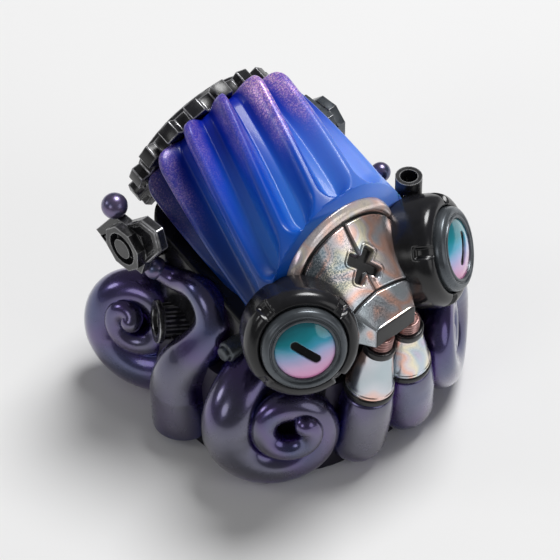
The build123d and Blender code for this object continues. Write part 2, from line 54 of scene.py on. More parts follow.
class Tree:
    """Short calls for building a node material."""

    def __init__(self, name):
        self.material = bpy.data.materials.new(name)
        self.material.use_nodes = True
        self.tree = self.material.node_tree
        self.shader = self.tree.nodes["Principled BSDF"]

    def node(self, kind, **values):
        made = self.tree.nodes.new(kind)
        for key, value in values.items():
            setattr(made, key, value)
        return made

    def link(self, source, target):
        self.tree.links.new(source, target)

    def put(self, value, socket):
        """Links another socket, or sets a plain value."""
        if isinstance(value, bpy.types.NodeSocket):
            self.link(value, socket)
        else:
            socket.default_value = value

    def set(self, **values):
        """Sets inputs of the shader, named with _ for a space."""
        for key, value in values.items():
            self.put(value, self.shader.inputs[key.replace("_", " ")])

    def place(self):
        return self.node("ShaderNodeTexCoord").outputs["Object"]

    def noise(self, scale, detail=4.0, rough=0.55, distortion=0.0, place=None):
        made = self.node("ShaderNodeTexNoise")
        made.inputs["Scale"].default_value = scale
        made.inputs["Detail"].default_value = detail
        made.inputs["Roughness"].default_value = rough
        made.inputs["Distortion"].default_value = distortion
        self.link(place or self.place(), made.inputs["Vector"])
        return made.outputs["Fac"]

    def ramp(self, value, *stops):
        """Blends colours, or grey levels, that are given at places of the value."""
        made = self.node("ShaderNodeValToRGB")
        elements = made.color_ramp.elements
        while len(elements) < len(stops):
            elements.new(0.5)
        for element, (at, colour) in zip(elements, stops):
            element.position = at
            element.color = (*(colour if isinstance(colour, tuple) else [colour] * 3), 1.0)
        self.put(value, made.inputs["Fac"])
        return made.outputs["Color"]

    def math(self, operation, *values, clamp=False):
        made = self.node("ShaderNodeMath", operation=operation, use_clamp=clamp)
        for value, socket in zip(values, made.inputs):
            self.put(value, socket)
        return made.outputs["Value"]

    def times(self, a, b, clamp=False):
        return self.math("MULTIPLY", a, b, clamp=clamp)

    def linear(self, value, factor, offset, clamp=False):
        return self.math("MULTIPLY_ADD", value, factor, offset, clamp=clamp)

    def vector(self, operation, a, b):
        made = self.node("ShaderNodeVectorMath", operation=operation)
        self.put(a, made.inputs[0])
        self.put(b, made.inputs[1])
        return made.outputs["Value" if operation == "DOT_PRODUCT" else "Vector"]

    def mix(self, factor, a, b):
        made = self.node("ShaderNodeMix", data_type="RGBA")
        self.put(factor, made.inputs[MIX_FACTOR])
        for value, socket in ((a, made.inputs[MIX_A]), (b, made.inputs[MIX_B])):
            self.put((*value, 1.0) if isinstance(value, tuple) else value, socket)
        return made.outputs[MIX_RESULT]

    def attribute(self, name):
        return self.node("ShaderNodeAttribute", attribute_name=name).outputs["Fac"]

    def bump(self, height, strength, distance):
        made = self.node("ShaderNodeBump")
        made.inputs["Strength"].default_value = strength
        made.inputs["Distance"].default_value = distance
        self.link(height, made.inputs["Height"])
        self.link(made.outputs["Normal"], self.shader.inputs["Normal"])

    def edge(self, radius):
        """About 1 on convex edges and 0 on flats."""
        bevel = self.node("ShaderNodeBevel", samples=6)
        bevel.inputs["Radius"].default_value = radius
        geometry = self.node("ShaderNodeNewGeometry")
        near = self.vector("DOT_PRODUCT", bevel.outputs["Normal"], geometry.outputs["Normal"])
        return self.math("SUBTRACT", 1.0, near, clamp=True)


# Materials


def black_resin(name, wear=1.0, rough=(0.2, 0.36)):
    """Gloss black, with rubbed edges where there is wear."""
    t = Tree(name)
    colour = t.ramp(t.noise(350.0), (0.3, (0.005, 0.005, 0.006)), (0.75, (0.02, 0.02, 0.024)))
    if wear:
        patches = t.linear(t.noise(900.0, detail=5.0), 14.0 * wear, -3.0 * wear)
        worn = t.times(t.edge(0.12 * MM), patches, clamp=True)
        colour = t.mix(worn, colour, (0.5, 0.5, 0.51))
        t.set(Metallic=t.times(worn, 0.7))
    t.set(Base_Color=colour)
    t.set(Roughness=t.ramp(t.noise(1400.0), (0.3, rough[0]), (0.7, rough[1])))
    t.bump(t.noise(2500.0, detail=3.0), 0.1, 0.03 * MM)
    return t.material


def pupil_resin(name):
    """Dull black of the pupils."""
    t = Tree(name)
    cloud = t.noise(1500.0)
    t.set(Base_Color=t.ramp(cloud, (0.3, (0.001, 0.001, 0.001)), (0.7, (0.004, 0.004, 0.005))))
    t.set(Roughness=0.3, Specular_IOR_Level=0.12)
    return t.material


def worn_resin(name):
    """Rubbed edges of the collar, plates, knob, pipe and beak."""
    t = Tree(name)
    patches = t.noise(1100.0)
    t.set(Base_Color=t.ramp(patches, (0.38, (0.03, 0.03, 0.033)), (0.6, (0.5, 0.5, 0.52))))
    t.set(Metallic=t.ramp(patches, (0.38, 0.0), (0.6, 0.7)), Roughness=0.26)
    return t.material


def grey_resin(name):
    """Satin slate of the bezels and the bolt; on the right plate, worn metal and a painted
    highlight.
    """
    t = Tree(name)
    fine = t.noise(2200.0, detail=3.0)
    cloud = t.noise(500.0)
    t.set(Base_Color=t.ramp(cloud, (0.3, (0.07, 0.08, 0.092)), (0.7, (0.13, 0.145, 0.16))))
    t.set(Metallic=0.6, Roughness=t.ramp(fine, (0.3, 0.24), (0.7, 0.36)))
    t.bump(fine, 0.06, 0.02 * MM)
    return t.material


def arm_resin(name):
    """Pearl arms with painted light: slate below, violet above, violet-blue shade in hollows."""
    t = Tree(name)
    place = t.place()
    broad = t.noise(150.0, detail=1.0, rough=0.4, distortion=0.5, place=place)
    fine = t.noise(1600.0, rough=0.6, place=place)
    cloud = t.ramp(
        broad,
        (0.25, (0.09, 0.10, 0.14)),
        (0.42, (0.13, 0.13, 0.17)),
        (0.52, (0.13, 0.08, 0.27)),
        (0.62, (0.06, 0.09, 0.23)),
        (0.76, (0.20, 0.17, 0.22)),
    )
    # Painted floor reflection: paler slate on faces turned down, darker violet on faces turned
    # up.
    tilt = t.node("ShaderNodeSeparateXYZ")
    t.link(t.node("ShaderNodeNewGeometry").outputs["Normal"], tilt.inputs["Vector"])
    painted_facing_light = t.ramp(
        t.linear(tilt.outputs["Z"], 0.5, 0.5),
        (0.20, (0.30, 0.25, 0.31)),
        (0.52, (0.16, 0.155, 0.20)),
        (0.78, (0.062, 0.055, 0.15)),
        (1.00, (0.06, 0.04, 0.16)),
    )
    # Painted shade: ambient occlusion turns the hollows dark violet and blue (deep).
    hollow = t.node("ShaderNodeAmbientOcclusion", samples=8)
    hollow.inputs["Distance"].default_value = 2.2 * MM
    out_of_shade = t.ramp(hollow.outputs["AO"], (0.3, 0.0), (0.8, 1.0))
    deep = t.ramp(
        broad,
        (0.38, (0.045, 0.012, 0.20)),
        (0.50, (0.008, 0.03, 0.19)),
        (0.62, (0.09, 0.015, 0.21)),
    )
    t.set(Base_Color=t.mix(out_of_shade, deep, t.mix(0.45, painted_facing_light, cloud)))
    t.set(Metallic=0.88, Roughness=t.ramp(fine, (0.3, 0.2), (0.7, 0.3)))
    t.set(Coat_Weight=0.8, Coat_Roughness=0.08)
    t.bump(t.noise(3500.0, detail=2.0), 0.05, 0.02 * MM)
    return t.material


def shaded_arm_resin(name):
    """Slate of the skirt: the arms' resin darkened as painted shade, behind the arms."""
    t = Tree(name)
    fine = t.noise(1600.0, rough=0.6)
    cloud = t.noise(210.0, detail=2.0)
    t.set(Base_Color=t.ramp(cloud, (0.35, (0.016, 0.015, 0.024)), (0.65, (0.04, 0.034, 0.062))))
    t.set(Metallic=0.5, Roughness=t.ramp(fine, (0.3, 0.32), (0.7, 0.45)))
    t.bump(t.noise(3500.0, detail=2.0), 0.05, 0.02 * MM)
    return t.material


def bead_resin(name):
    """Gloss violet to blue of the small balls."""
    t = Tree(name)
    hue = t.ramp(
        t.noise(900.0, detail=2.0, rough=0.5, distortion=1.0),
        (0.35, (0.10, 0.10, 0.20)),
        (0.5, (0.18, 0.14, 0.26)),
        (0.65, (0.08, 0.10, 0.20)),
    )
    t.set(Base_Color=hue, Metallic=0.75, Roughness=0.3, Coat_Weight=0.4, Coat_Roughness=0.12)
    return t.material


def head_resin(name):
    """Clear blue, pink glitter on some rib backs; painted shade below-left, painted light on the
    right.
    """
    t = Tree(name)
    place = t.place()
    crest, along, low = t.attribute("crest"), t.attribute("along"), t.attribute("low")
    base = t.ramp(
        along,
        (0.0, (0.004, 0.014, 0.36)),
        (0.45, (0.001, 0.06, 0.52)),
        (1.0, (0.001, 0.085, 0.47)),
    )
    # Painted shade: darker navy under the head and on its left side.
    base = t.mix(t.times(low, 0.8), base, (0.001, 0.018, 0.11))
    # Painted glow: lighter blue in the valleys towards the front, outside the painted shade.
    reach = t.times(t.ramp(along, (0.25, 0.0), (0.8, 1.0)), t.math("SUBTRACT", 1.0, low))
    painted_glow = t.times(t.ramp(crest, (0.0, 1.0), (0.6, 0.0)), reach)
    base = t.mix(t.times(painted_glow, 0.55), base, (0.05, 0.24, 0.78))
    base = t.mix(t.times(t.attribute("lit"), 0.7), base, (0.19, 0.36, 0.95))
    specks = t.noise(12000.0, detail=1.0, rough=0.5, place=place)
    specks = t.ramp(specks, (0.48, 0.0), (0.58, 1.0))
    patch = t.noise(900.0, detail=3.0, rough=0.6, place=place)
    patch = t.ramp(patch, (0.3, 0.4), (0.6, 1.0))
    ridge = t.ramp(crest, (0.2, 0.0), (0.65, 1.0))
    shed = t.times(t.attribute("shine"), t.times(patch, ridge))
    dust = t.times(shed, t.linear(specks, 0.65, 0.42), clamp=True)
    tint = t.noise(8000.0, detail=1.0, rough=0.5, place=place)
    tint = t.ramp(tint, (0.4, (0.48, 0.25, 0.74)), (0.6, (0.98, 0.62, 0.86)))
    t.set(Base_Color=t.mix(dust, base, tint), Metallic=t.times(dust, 0.3))
    t.set(Roughness=0.36, Specular_IOR_Level=0.35, Coat_Weight=0.15, Coat_Roughness=0.1)
    t.set(Subsurface_Weight=0.2, Subsurface_Radius=(0.1, 0.5, 1.0), Subsurface_Scale=0.9 * MM)
    t.bump(t.noise(6000.0, detail=2.0), 0.06, 0.02 * MM)
    return t.material


def silver_resin(name, grooved=False):
    """Silver with a rainbow in it; the mask's has black grooves, a bright rim and painted shade.
    """
    t = Tree(name)
    place = t.place()
    tint = t.ramp(
        t.noise(260.0, detail=1.0, rough=0.5, distortion=1.2, place=place),
        (0.28, (0.52, 0.60, 0.64)),
        (0.38, (0.68, 0.70, 0.75)),
        (0.45, (1.00, 0.60, 0.48)),
        (0.51, (0.88, 0.78, 0.79)),
        (0.57, (0.98, 0.90, 0.68)),
        (0.63, (0.62, 0.72, 0.79)),
        (0.72, (0.74, 0.54, 0.76)),
    )
    flakes = t.noise(11000.0, detail=1.0, rough=0.6, place=place)
    flakes = t.ramp(flakes, (0.42, 0.0), (0.6, 1.0))
    shade = t.noise(380.0, detail=2.0, rough=0.5, distortion=0.3, place=place)
    shade = t.ramp(shade, (0.46, 0.0), (0.64, 0.6 if grooved else 0.2))
    colour = t.mix(t.times(shade, flakes), tint, (0.16, 0.18, 0.2))
    metal = 0.92
    if grooved:
        rim, groove = t.attribute("rim"), t.attribute("groove")
        # Painted shade: the left cheek darkens to teal, broken by the flakes.
        dull = t.times(t.attribute("dull"), t.linear(flakes, -0.6, 1.0))
        colour = t.mix(dull, colour, (0.05, 0.10, 0.13))
        colour = t.mix(t.times(rim, 0.45), colour, (0.97, 0.80, 0.74))
        colour = t.mix(groove, colour, (0.006, 0.006, 0.007))
        metal = t.linear(groove, -0.8, t.linear(rim, -0.4, metal), clamp=True)
    t.set(Base_Color=colour, Metallic=metal)
    t.set(Roughness=t.ramp(t.noise(1500.0, detail=3.0), (0.3, 0.18), (0.7, 0.27)))
    t.bump(t.noise(700.0, detail=2.0), 0.12, 0.04 * MM)
    return t.material


def copper_resin(name):
    """Dull copper of the ribbed necks."""
    t = Tree(name)
    cloud = t.noise(900.0)
    t.set(Base_Color=t.ramp(cloud, (0.3, (0.30, 0.15, 0.14)), (0.7, (0.6, 0.38, 0.36))))
    t.set(Metallic=0.9, Roughness=t.ramp(t.noise(2000.0), (0.3, 0.22), (0.7, 0.4)))
    return t.material


# Place of the right goggle and its turn in degrees, and the lens in it
GOGGLE = (6.06, -8.10, 12.22)
GOGGLE_YAW = 33.0
GOGGLE_PITCH = 20.0
LENS_RADIUS = 1.74


def goggle_frame(side):
    """Middle, nose-side, up and outward directions of a goggle."""
    yaw, pitch = math.radians(GOGGLE_YAW), math.radians(GOGGLE_PITCH)
    level = math.cos(pitch)
    out = Vector((side * math.sin(yaw) * level, -math.cos(yaw) * level, math.sin(pitch)))
    across = Vector((-side * math.cos(yaw), -math.sin(yaw), 0.0))
    up = out.cross(across) * -side
    return Vector((side * GOGGLE[0], GOGGLE[1], GOGGLE[2])), across, up, out


def lens_resin(name, side):
    """Teal at the top and pink at the bottom, black where it meets the pupil."""
    t = Tree(name)
    centre, across, up, _ = goggle_frame(side)
    local = t.vector("SUBTRACT", t.place(), tuple(centre * MM))
    v = t.math("DIVIDE", t.vector("DOT_PRODUCT", local, tuple(up)), MM)
    u = t.math("DIVIDE", t.vector("DOT_PRODUCT", local, tuple(across)), MM)
    cloud = t.linear(t.noise(420.0, detail=2.0, rough=0.5, distortion=0.6), 0.36, -0.18)
    height = t.math("ADD", t.linear(v, 0.5 / LENS_RADIUS, 0.5), t.linear(u, -0.09, cloud))
    colour = t.ramp(
        height,
        (0.05, (0.92, 0.36, 0.66)),
        (0.26, (0.78, 0.50, 0.82)),
        (0.46, (0.40, 0.50, 0.84)),
        (0.62, (0.06, 0.40, 0.60)),
        (0.76, (0.006, 0.25, 0.31)),
        (0.95, (0.004, 0.16, 0.20)),
    )
    pupil = t.attribute("pupil")
    t.set(Base_Color=t.mix(pupil, colour, (0.002, 0.002, 0.003)))
    t.set(Roughness=t.linear(pupil, 0.4, 0.12))
    t.set(Coat_Weight=t.linear(pupil, -0.7, 0.7), Coat_Roughness=0.02)
    return t.material


violet = arm_resin("pearl_violet_resin")
black = black_resin("black_resin")
plain_black = black_resin("smooth_black_resin", 0.4, (0.14, 0.28))
gloss_black = black_resin("gloss_black_resin", 0.0, (0.14, 0.26))
pupil_black = pupil_resin("pupil_resin")
grey = grey_resin("grey_resin")
silver = silver_resin("silver_resin")
copper = copper_resin("copper_resin")
bead = bead_resin("bead_resin")
worn_edge = worn_resin("worn_black_resin")


# Meshes and pieces

AXIS = 0.02  # radius at which a turned form closes on its axis
BEND = (0.0, 0.3, 0.7, 1.0)  # steps round a softened corner
RING_POINTS = 16  # points on each corner of a rounded rectangle


def finish_piece(name, mesh, material, replaced=()):
    """Puts a mesh into the scene as a piece, in place of any solids."""
    piece = bpy.data.objects.new(name, mesh)
    scene.collection.objects.link(piece)
    mesh.materials.append(material)
    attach(piece, "root")
    if replaced:
        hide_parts(*replaced)
    return piece


@contextmanager
def editing(mesh):
    """Opens a mesh for changes and writes them back."""
    shape = bmesh.new()
    shape.from_mesh(mesh)
    yield shape
    shape.to_mesh(mesh)
    shape.free()


def mesh_of(name, points, faces, smooth=True):
    """Mesh from points in millimetres, with its faces turned outwards."""
    mesh = bpy.data.meshes.new(name)
    mesh.from_pydata([tuple(p) for p in np.array(points, float) * MM], [], faces)
    with editing(mesh) as shape:
        bmesh.ops.recalc_face_normals(shape, faces=shape.faces)
    for polygon in mesh.polygons:
        polygon.use_smooth = smooth
    return mesh


def keep_values(mesh, **layers):
    """Stores a number for each point of a mesh, for its material to read."""
    for name, values in layers.items():
        layer = mesh.attributes.new(name, "FLOAT", "POINT")
        layer.data.foreach_set("value", np.array(values, np.float32).ravel())


def smoothstep(low, high, x):
    """Soft step from 0 at low to 1 at high, which may be the smaller one."""
    t = np.clip((np.asarray(x, float) - low) / (high - low), 0.0, 1.0)
    return t * t * (3 - 2 * t)


def strips(rings, caps=True):
    """Points and faces of closed rows that follow each other, each of the same length."""
    count = len(rings[0])
    points = [p for ring in rings for p in ring]
    faces = []
    for low in range(0, len(points) - count, count):
        for k in range(count):
            j = (k + 1) % count
            faces.append((low + k, low + j, low + count + j, low + count + k))
    if caps:
        faces.append(tuple(range(count)))
        faces.append(tuple(range(len(points) - count, len(points))))
    return points, faces


def soften(profile, radius, loop):
    """Profile with each corner rounded, or as it is for no radius."""
    p = [np.array(q, float) for q in profile]
    if radius == 0:
        return p
    out = []
    for i in range(len(p)):
        if not loop and i in (0, len(p) - 1):
            out.append(p[i])
            continue
        a, b = p[i - 1] - p[i], p[(i + 1) % len(p)] - p[i]
        la, lb = np.linalg.norm(a), np.linalg.norm(b)
        d = min(radius, 0.45 * la, 0.45 * lb)
        a, b = p[i] + a / la * d, p[i] + b / lb * d
        out += [a * (1 - t) ** 2 + p[i] * 2 * t * (1 - t) + b * t**2 for t in BEND]
    return out


def circle(count):
    """Angles of even steps round a circle."""
    return np.linspace(0, 2 * math.pi, count, endpoint=False)


def ways_round(turns, x, y):
    """Directions at angles in the plane of x and y."""
    return np.outer(np.cos(turns), x) + np.outer(np.sin(turns), y)


def lathe(name, at, profile, radius, loop=False, steps=96):
    """Form turned on a frame (origin, x, y, axis) from softened (radius, height) points."""
    origin, x, y, z = [np.array(v, float) for v in at]
    ways = ways_round(circle(steps), x, y)
    profile = soften(profile, radius, loop)
    if loop:
        profile = profile + profile[:1]
    mesh = mesh_of(name, *strips([origin + ways * r + z * h for r, h in profile], caps=not loop))
    if loop:
        with editing(mesh) as shape:
            bmesh.ops.remove_doubles(shape, verts=shape.verts, dist=0.001 * MM)
            bmesh.ops.recalc_face_normals(shape, faces=shape.faces)
    return mesh


def ball_profile(r, first, last, count):
    """Profile round a ball, between two angles from its lowest point."""
    return [(r * math.sin(a), -r * math.cos(a)) for a in np.linspace(first, last, count)]


def rounded_ring(origin, x, y, width, depth, corner, shift=0.0):
    """Points round a rectangle with round corners, moved along y by the shift."""
    ring = []
    for k, (sx, sy) in enumerate(((1, 1), (-1, 1), (-1, -1), (1, -1))):
        for i in range(RING_POINTS):
            a = math.pi / 2 * (k + i / (RING_POINTS - 1))
            u = sx * (width / 2 - corner) + corner * math.cos(a)
            v = sy * (depth / 2 - corner) + corner * math.sin(a) + shift
            ring.append(origin + x * u + y * v)
    return np.array(ring)


def even(piece):
    """Shading that keeps flats flat beside rounded edges."""
    piece.modifiers.new("normals", "WEIGHTED_NORMAL").keep_sharp = True
    return piece


# Base casting: a hollow skirt with a stem and its cross socket

SKIRT = ((15.5, 6.5, 0.0), (14.4, 5.8, 6.2))  # width, corner and height of its two rims
ROOM_WIDTH = 13.9
ROOM_CORNER = 6.0
ROOM_DEPTH = 4.4
STEM_DIAMETER = 5.5
SOCKET_LENGTH = 4.1
SOCKET_WIDTH = 1.2
SOCKET_DEPTH = 3.8
ROOF = 0.2  # least thickness left between the room and an arm above it
WALL = 0.1  # and beside it


def base_mesh():
    """The cross, the stem and the room are rings as long as the skirt's, so all join up."""
    corner = math.atan2(SOCKET_WIDTH, SOCKET_LENGTH)
    stops = (0.0, corner, math.pi / 4, math.pi / 2 - corner, math.pi / 2)
    steps = RING_POINTS // (len(stops) - 1)
    spans = [np.linspace(a, b, steps, endpoint=False) for a, b in zip(stops, stops[1:])]
    turns = np.concatenate([np.concatenate(spans) + k * math.pi / 2 for k in range(4)])
    cos, sin = np.abs(np.cos(turns)) + 1e-9, np.abs(np.sin(turns)) + 1e-9
    long, short = SOCKET_LENGTH / 2, SOCKET_WIDTH / 2
    bars = np.minimum(long / cos, short / sin), np.minimum(long / sin, short / cos)
    ways = ways_round(turns, EX, EY)
    cross, stem = ways * np.maximum(*bars)[:, None], ways * STEM_DIAMETER / 2
    room = rounded_ring(np.zeros(3), EX, EY, ROOM_WIDTH, ROOM_WIDTH, ROOM_CORNER)
    roof = EZ * ROOM_DEPTH
    rings = [cross + EZ * SOCKET_DEPTH, cross, stem, stem + roof, room + roof, room]
    for width, corner, height in SKIRT:
        rings.append(rounded_ring(EZ * height, EX, EY, width, width, corner))
    mesh = mesh_of("base", *strips(rings))
    mesh.set_sharp_from_angle(angle=math.radians(30.0))
    return mesh


def fit_base(mesh):
    """Keeps an arm above the floor and out of the room under the skirt."""
    flat = ROOM_WIDTH / 2 - ROOM_CORNER
    for vertex in mesh.vertices:
        x, y, z = vertex.co / MM
        if z < ROOM_DEPTH + ROOF:
            px, py = abs(x) - flat, abs(y) - flat
            inside = min(max(px, py), 0.0) - ROOM_CORNER
            move = WALL - (math.hypot(max(px, 0.0), max(py, 0.0)) + inside)
            if move > 0:
                sx, sy = math.copysign(1.0, x), math.copysign(1.0, y)
                if px > 0 and py > 0:
                    length = math.hypot(px, py)
                    x += sx * px / length * move
                    y += sy * py / length * move
                elif px > py:
                    x += sx * move
                else:
                    y += sy * move
        vertex.co = Vector((x, y, max(z, 0.0))) * MM
    return mesh


# The skirt takes the darker copy of the arms' resin as painted shade.
finish_piece("base", base_mesh(), shaded_arm_resin("shaded_violet_resin"), ["arm_base"])

# Coiled and side arms

TUBE_SIDES = 48
TUBE_END_STEPS = 10
TUBE_START = (0.3, 0.2, 0.9)  # a direction that no arm starts along
GROW = 0.05  # how much fuller the arms are than the radii given for them
COIL_POINTS = 260
SINK_SHARE = 0.12  # share of a coil over which its start comes up out of the body
WEB = [(AXIS, -1.2), (2.6, -1.2), (2.6, 0.0), (1.56, 0.35), (AXIS, 0.45)]

# Coils, as a left one: the lean and start in degrees, the winding's first and last radius, how
# far it rises, drifts (across, up) and starts sunk, and the arm's radii along its length
FRONT = dict(
    lean=5.5, radii=(3.1, 0.72), start=88.0, turn=680.0, power=1.0, rise=1.9,
    drift=(1.15, 1.0), sink=3.2, thickness=(1.7, 1.6, 1.2, 0.82, 0.66),
)
BACK = dict(
    lean=18.0, radii=(2.9, 0.42), start=-56.0, turn=-655.0, power=0.85, rise=2.0,
    drift=(-0.95, 0.6), sink=0.0, thickness=(1.7, 1.6, 1.15, 0.8, 0.6),
)
# Name, side, middle and facing of each coil; the right ones are mirrored
COILS = (
    ("front_left", -1, (-5.7, -5.08, 3.35), 35.0, FRONT),
    ("front_right", 1, (-6.35, -6.15, 3.9), 42.0, dict(FRONT, rise=0.7)),
    ("back_left", -1, (-5.8, 5.6, 4.15), 64.0, BACK),
    ("back_right", 1, (-5.8, 5.6, 4.15), 64.0, BACK),
)
SIDE_LEFT = [
    (-7.3, 0.9, 0.6), (-7.4, 1.0, 2.4), (-7.35, 1.0, 4.5), (-6.5, 0.0, 6.9),
    (-5.9, -0.1, 8.6), (-5.7, 1.1, 9.8), (-5.85, 3.1, 9.5), (-6.5, 4.25, 10.0),
]
SIDE_LEFT_RADII = (1.95, 1.85, 1.4, 1.08, 0.8, 0.5)
SIDE_RIGHT = [
    (7.2, 0.65, 0.4), (7.3, 0.9, 2.6), (7.2, 1.3, 5.2),
    (6.75, 1.1, 8.0), (6.4, 0.1, 11.0), (6.35, -1.15, 13.2),
]
SIDE_RIGHT_RADII = (2.0, 1.8, 1.2, 0.46)


def lengths(points):
    """Length along a line up to each of its points."""
    return np.concatenate([[0], np.cumsum(np.linalg.norm(np.diff(points, axis=0), axis=1))])


def spline(points, count):
    """Natural cubic spline through points, by chord length."""
    p = np.array(points, float)
    t = lengths(p)
    n = len(p)
    h = np.diff(t)
    a = np.zeros((n, n))
    b = np.zeros((n, 3))
    a[0, 0] = a[-1, -1] = 1
    for i in range(1, n - 1):
        a[i, i - 1 : i + 2] = h[i - 1], 2 * (h[i - 1] + h[i]), h[i]
        b[i] = 6 * ((p[i + 1] - p[i]) / h[i] - (p[i] - p[i - 1]) / h[i - 1])
    m = np.linalg.solve(a, b)
    out = []
    for x in np.linspace(0, t[-1], count):
        i = min(max(np.searchsorted(t, x) - 1, 0), n - 2)
        d0, d1 = x - t[i], t[i + 1] - x
        out.append(
            m[i] * d1**3 / (6 * h[i])
            + m[i + 1] * d0**3 / (6 * h[i])
            + (p[i] / h[i] - m[i] * h[i] / 6) * d1
            + (p[i + 1] / h[i] - m[i + 1] * h[i] / 6) * d0
        )
    return np.array(out)


def tube(name, line, radii):
    """Closed tube round a line with a round end, with radii at even steps of its length."""
    line = np.array(line, float)
    share = lengths(line) / lengths(line)[-1]
    width = np.interp(share, np.linspace(0, 1, len(radii)), radii) + GROW
    tangent = np.gradient(line, axis=0)
    tangent /= np.linalg.norm(tangent, axis=1)[:, None]
    normal = np.cross(tangent[0], TUBE_START)
    stations = []
    for i in range(len(line)):
        normal = normal - tangent[i] * normal.dot(tangent[i])
        normal /= np.linalg.norm(normal)
        stations.append((line[i], tangent[i], normal.copy(), width[i]))
    end, way, side, r = stations[-1]
    for k in range(1, TUBE_END_STEPS):
        a = k / TUBE_END_STEPS * math.pi / 2
        stations.append((end + way * r * math.sin(a), way, side, r * math.cos(a)))
    turns = circle(TUBE_SIDES)
    rings = []
    for at, way, side, r in stations:
        rings.append(at + ways_round(turns, side, np.cross(way, side)) * r)
    return mesh_of(name, *strips(rings))


def facing_way(side, facing, lean):
    """Direction turned to a side from straight ahead, and leaning up, in degrees."""
    a, t = math.radians(facing), math.radians(lean)
    way = np.array([side * math.sin(a) * math.cos(t), -math.cos(a) * math.cos(t), math.sin(t)])
    across = np.cross(EZ, way)
    across /= np.linalg.norm(across)
    return across, np.cross(way, across), way


def coil_line(side, centre, facing, coil):
    """Middle line of a coiled arm, from the body to its tip."""
    across, up, out = facing_way(-1, facing, coil["lean"])
    first, last = coil["radii"]
    line = []
    for s in np.linspace(0, 1, COIL_POINTS):
        turn = math.radians(coil["start"] + coil["turn"] * s)
        r = first + (last - first) * s ** coil["power"]
        dip = coil["sink"] * max(0.0, 1 - s / SINK_SHARE) ** 2
        p = np.array(centre) + across * (r * math.cos(turn) + coil["drift"][0] * s)
        p = p + up * (r * math.sin(turn) + coil["drift"][1] * s) + out * (coil["rise"] * s - dip)
        line.append((-side * p[0], p[1], p[2]))
    return line


def arm(name, line, radii):
    finish_piece(name, fit_base(tube(name, line, radii)), violet)


for word, side, centre, facing, coil in COILS:
    arm("arm_" + word, coil_line(side, centre, facing, coil), coil["thickness"])
arm("arm_side_left", spline(SIDE_LEFT, 160), SIDE_LEFT_RADII)
arm("arm_side_right", spline(SIDE_RIGHT, 140), SIDE_RIGHT_RADII)

# Webs that fill the middle of each coil from behind
for word, side, centre, facing, coil in COILS:
    at = (np.array(centre) * (-side, 1, 1), *facing_way(side, facing, coil["lean"]))
    mesh = fit_base(lathe("web_" + word, at, WEB, radius=0.3))
    finish_piece("web_" + word, mesh, violet)

# Beads on the tips of the side arms and on the left side plate
POLE = 0.03  # angle from a bead's poles at which its rings start
for name, centre, r in (
    ("arm_bead_left", SIDE_LEFT[-1], 0.68),
    ("arm_bead_right", SIDE_RIGHT[-1], 0.6),
    ("plate_bead", (-7.3, 6.8, 13.75), 0.78),
):
    profile = ball_profile(r, POLE, math.pi - POLE, 24)
    mesh = lathe(name, (centre, EX, EY, EZ), profile, radius=0.0, steps=48)
    finish_piece(name, mesh, bead)

# Front arms: a bulb on the floor, then a band, a cuff, a ring and a ribbed neck to the mask

LEG_MIDDLE = 0.44
LEG_FOOT = (1.9, -7.6, 1.75)
LEG_TOP = (1.1, -8.55, 9.2)
LEG_BULB = 1.8
LEG_POLE = 0.05  # angle at which the bulb starts
LEG_SHOULDER = 3.85
LEG_SWELL = ((1.77, 0.5), (1.65, 0.8), (1.47, 1.0))  # radii at shares of the shoulder's height
CORE = 0.6
BAND_RADIUS = 1.5
BAND_HEIGHT = 0.45
BAND_SWELL = 0.04
CUFF_FOOT = 1.46
CUFF_TOP = 0.88
CUFF_HEIGHT = 3.0
RING_OVER = 0.08
RING_REACH = (-0.1, 0.4)  # from below to above the cuff's top
NECK_REACH = (0.2, 1.2)
NECK_START = 0.36
NECK_RIBS = 4
NECK_PITCH = 0.22


def washer(outline, low, high):
    """Closed profile round the core, from the outline of its outer side."""
    return [(CORE, low), *outline, (CORE, high)]


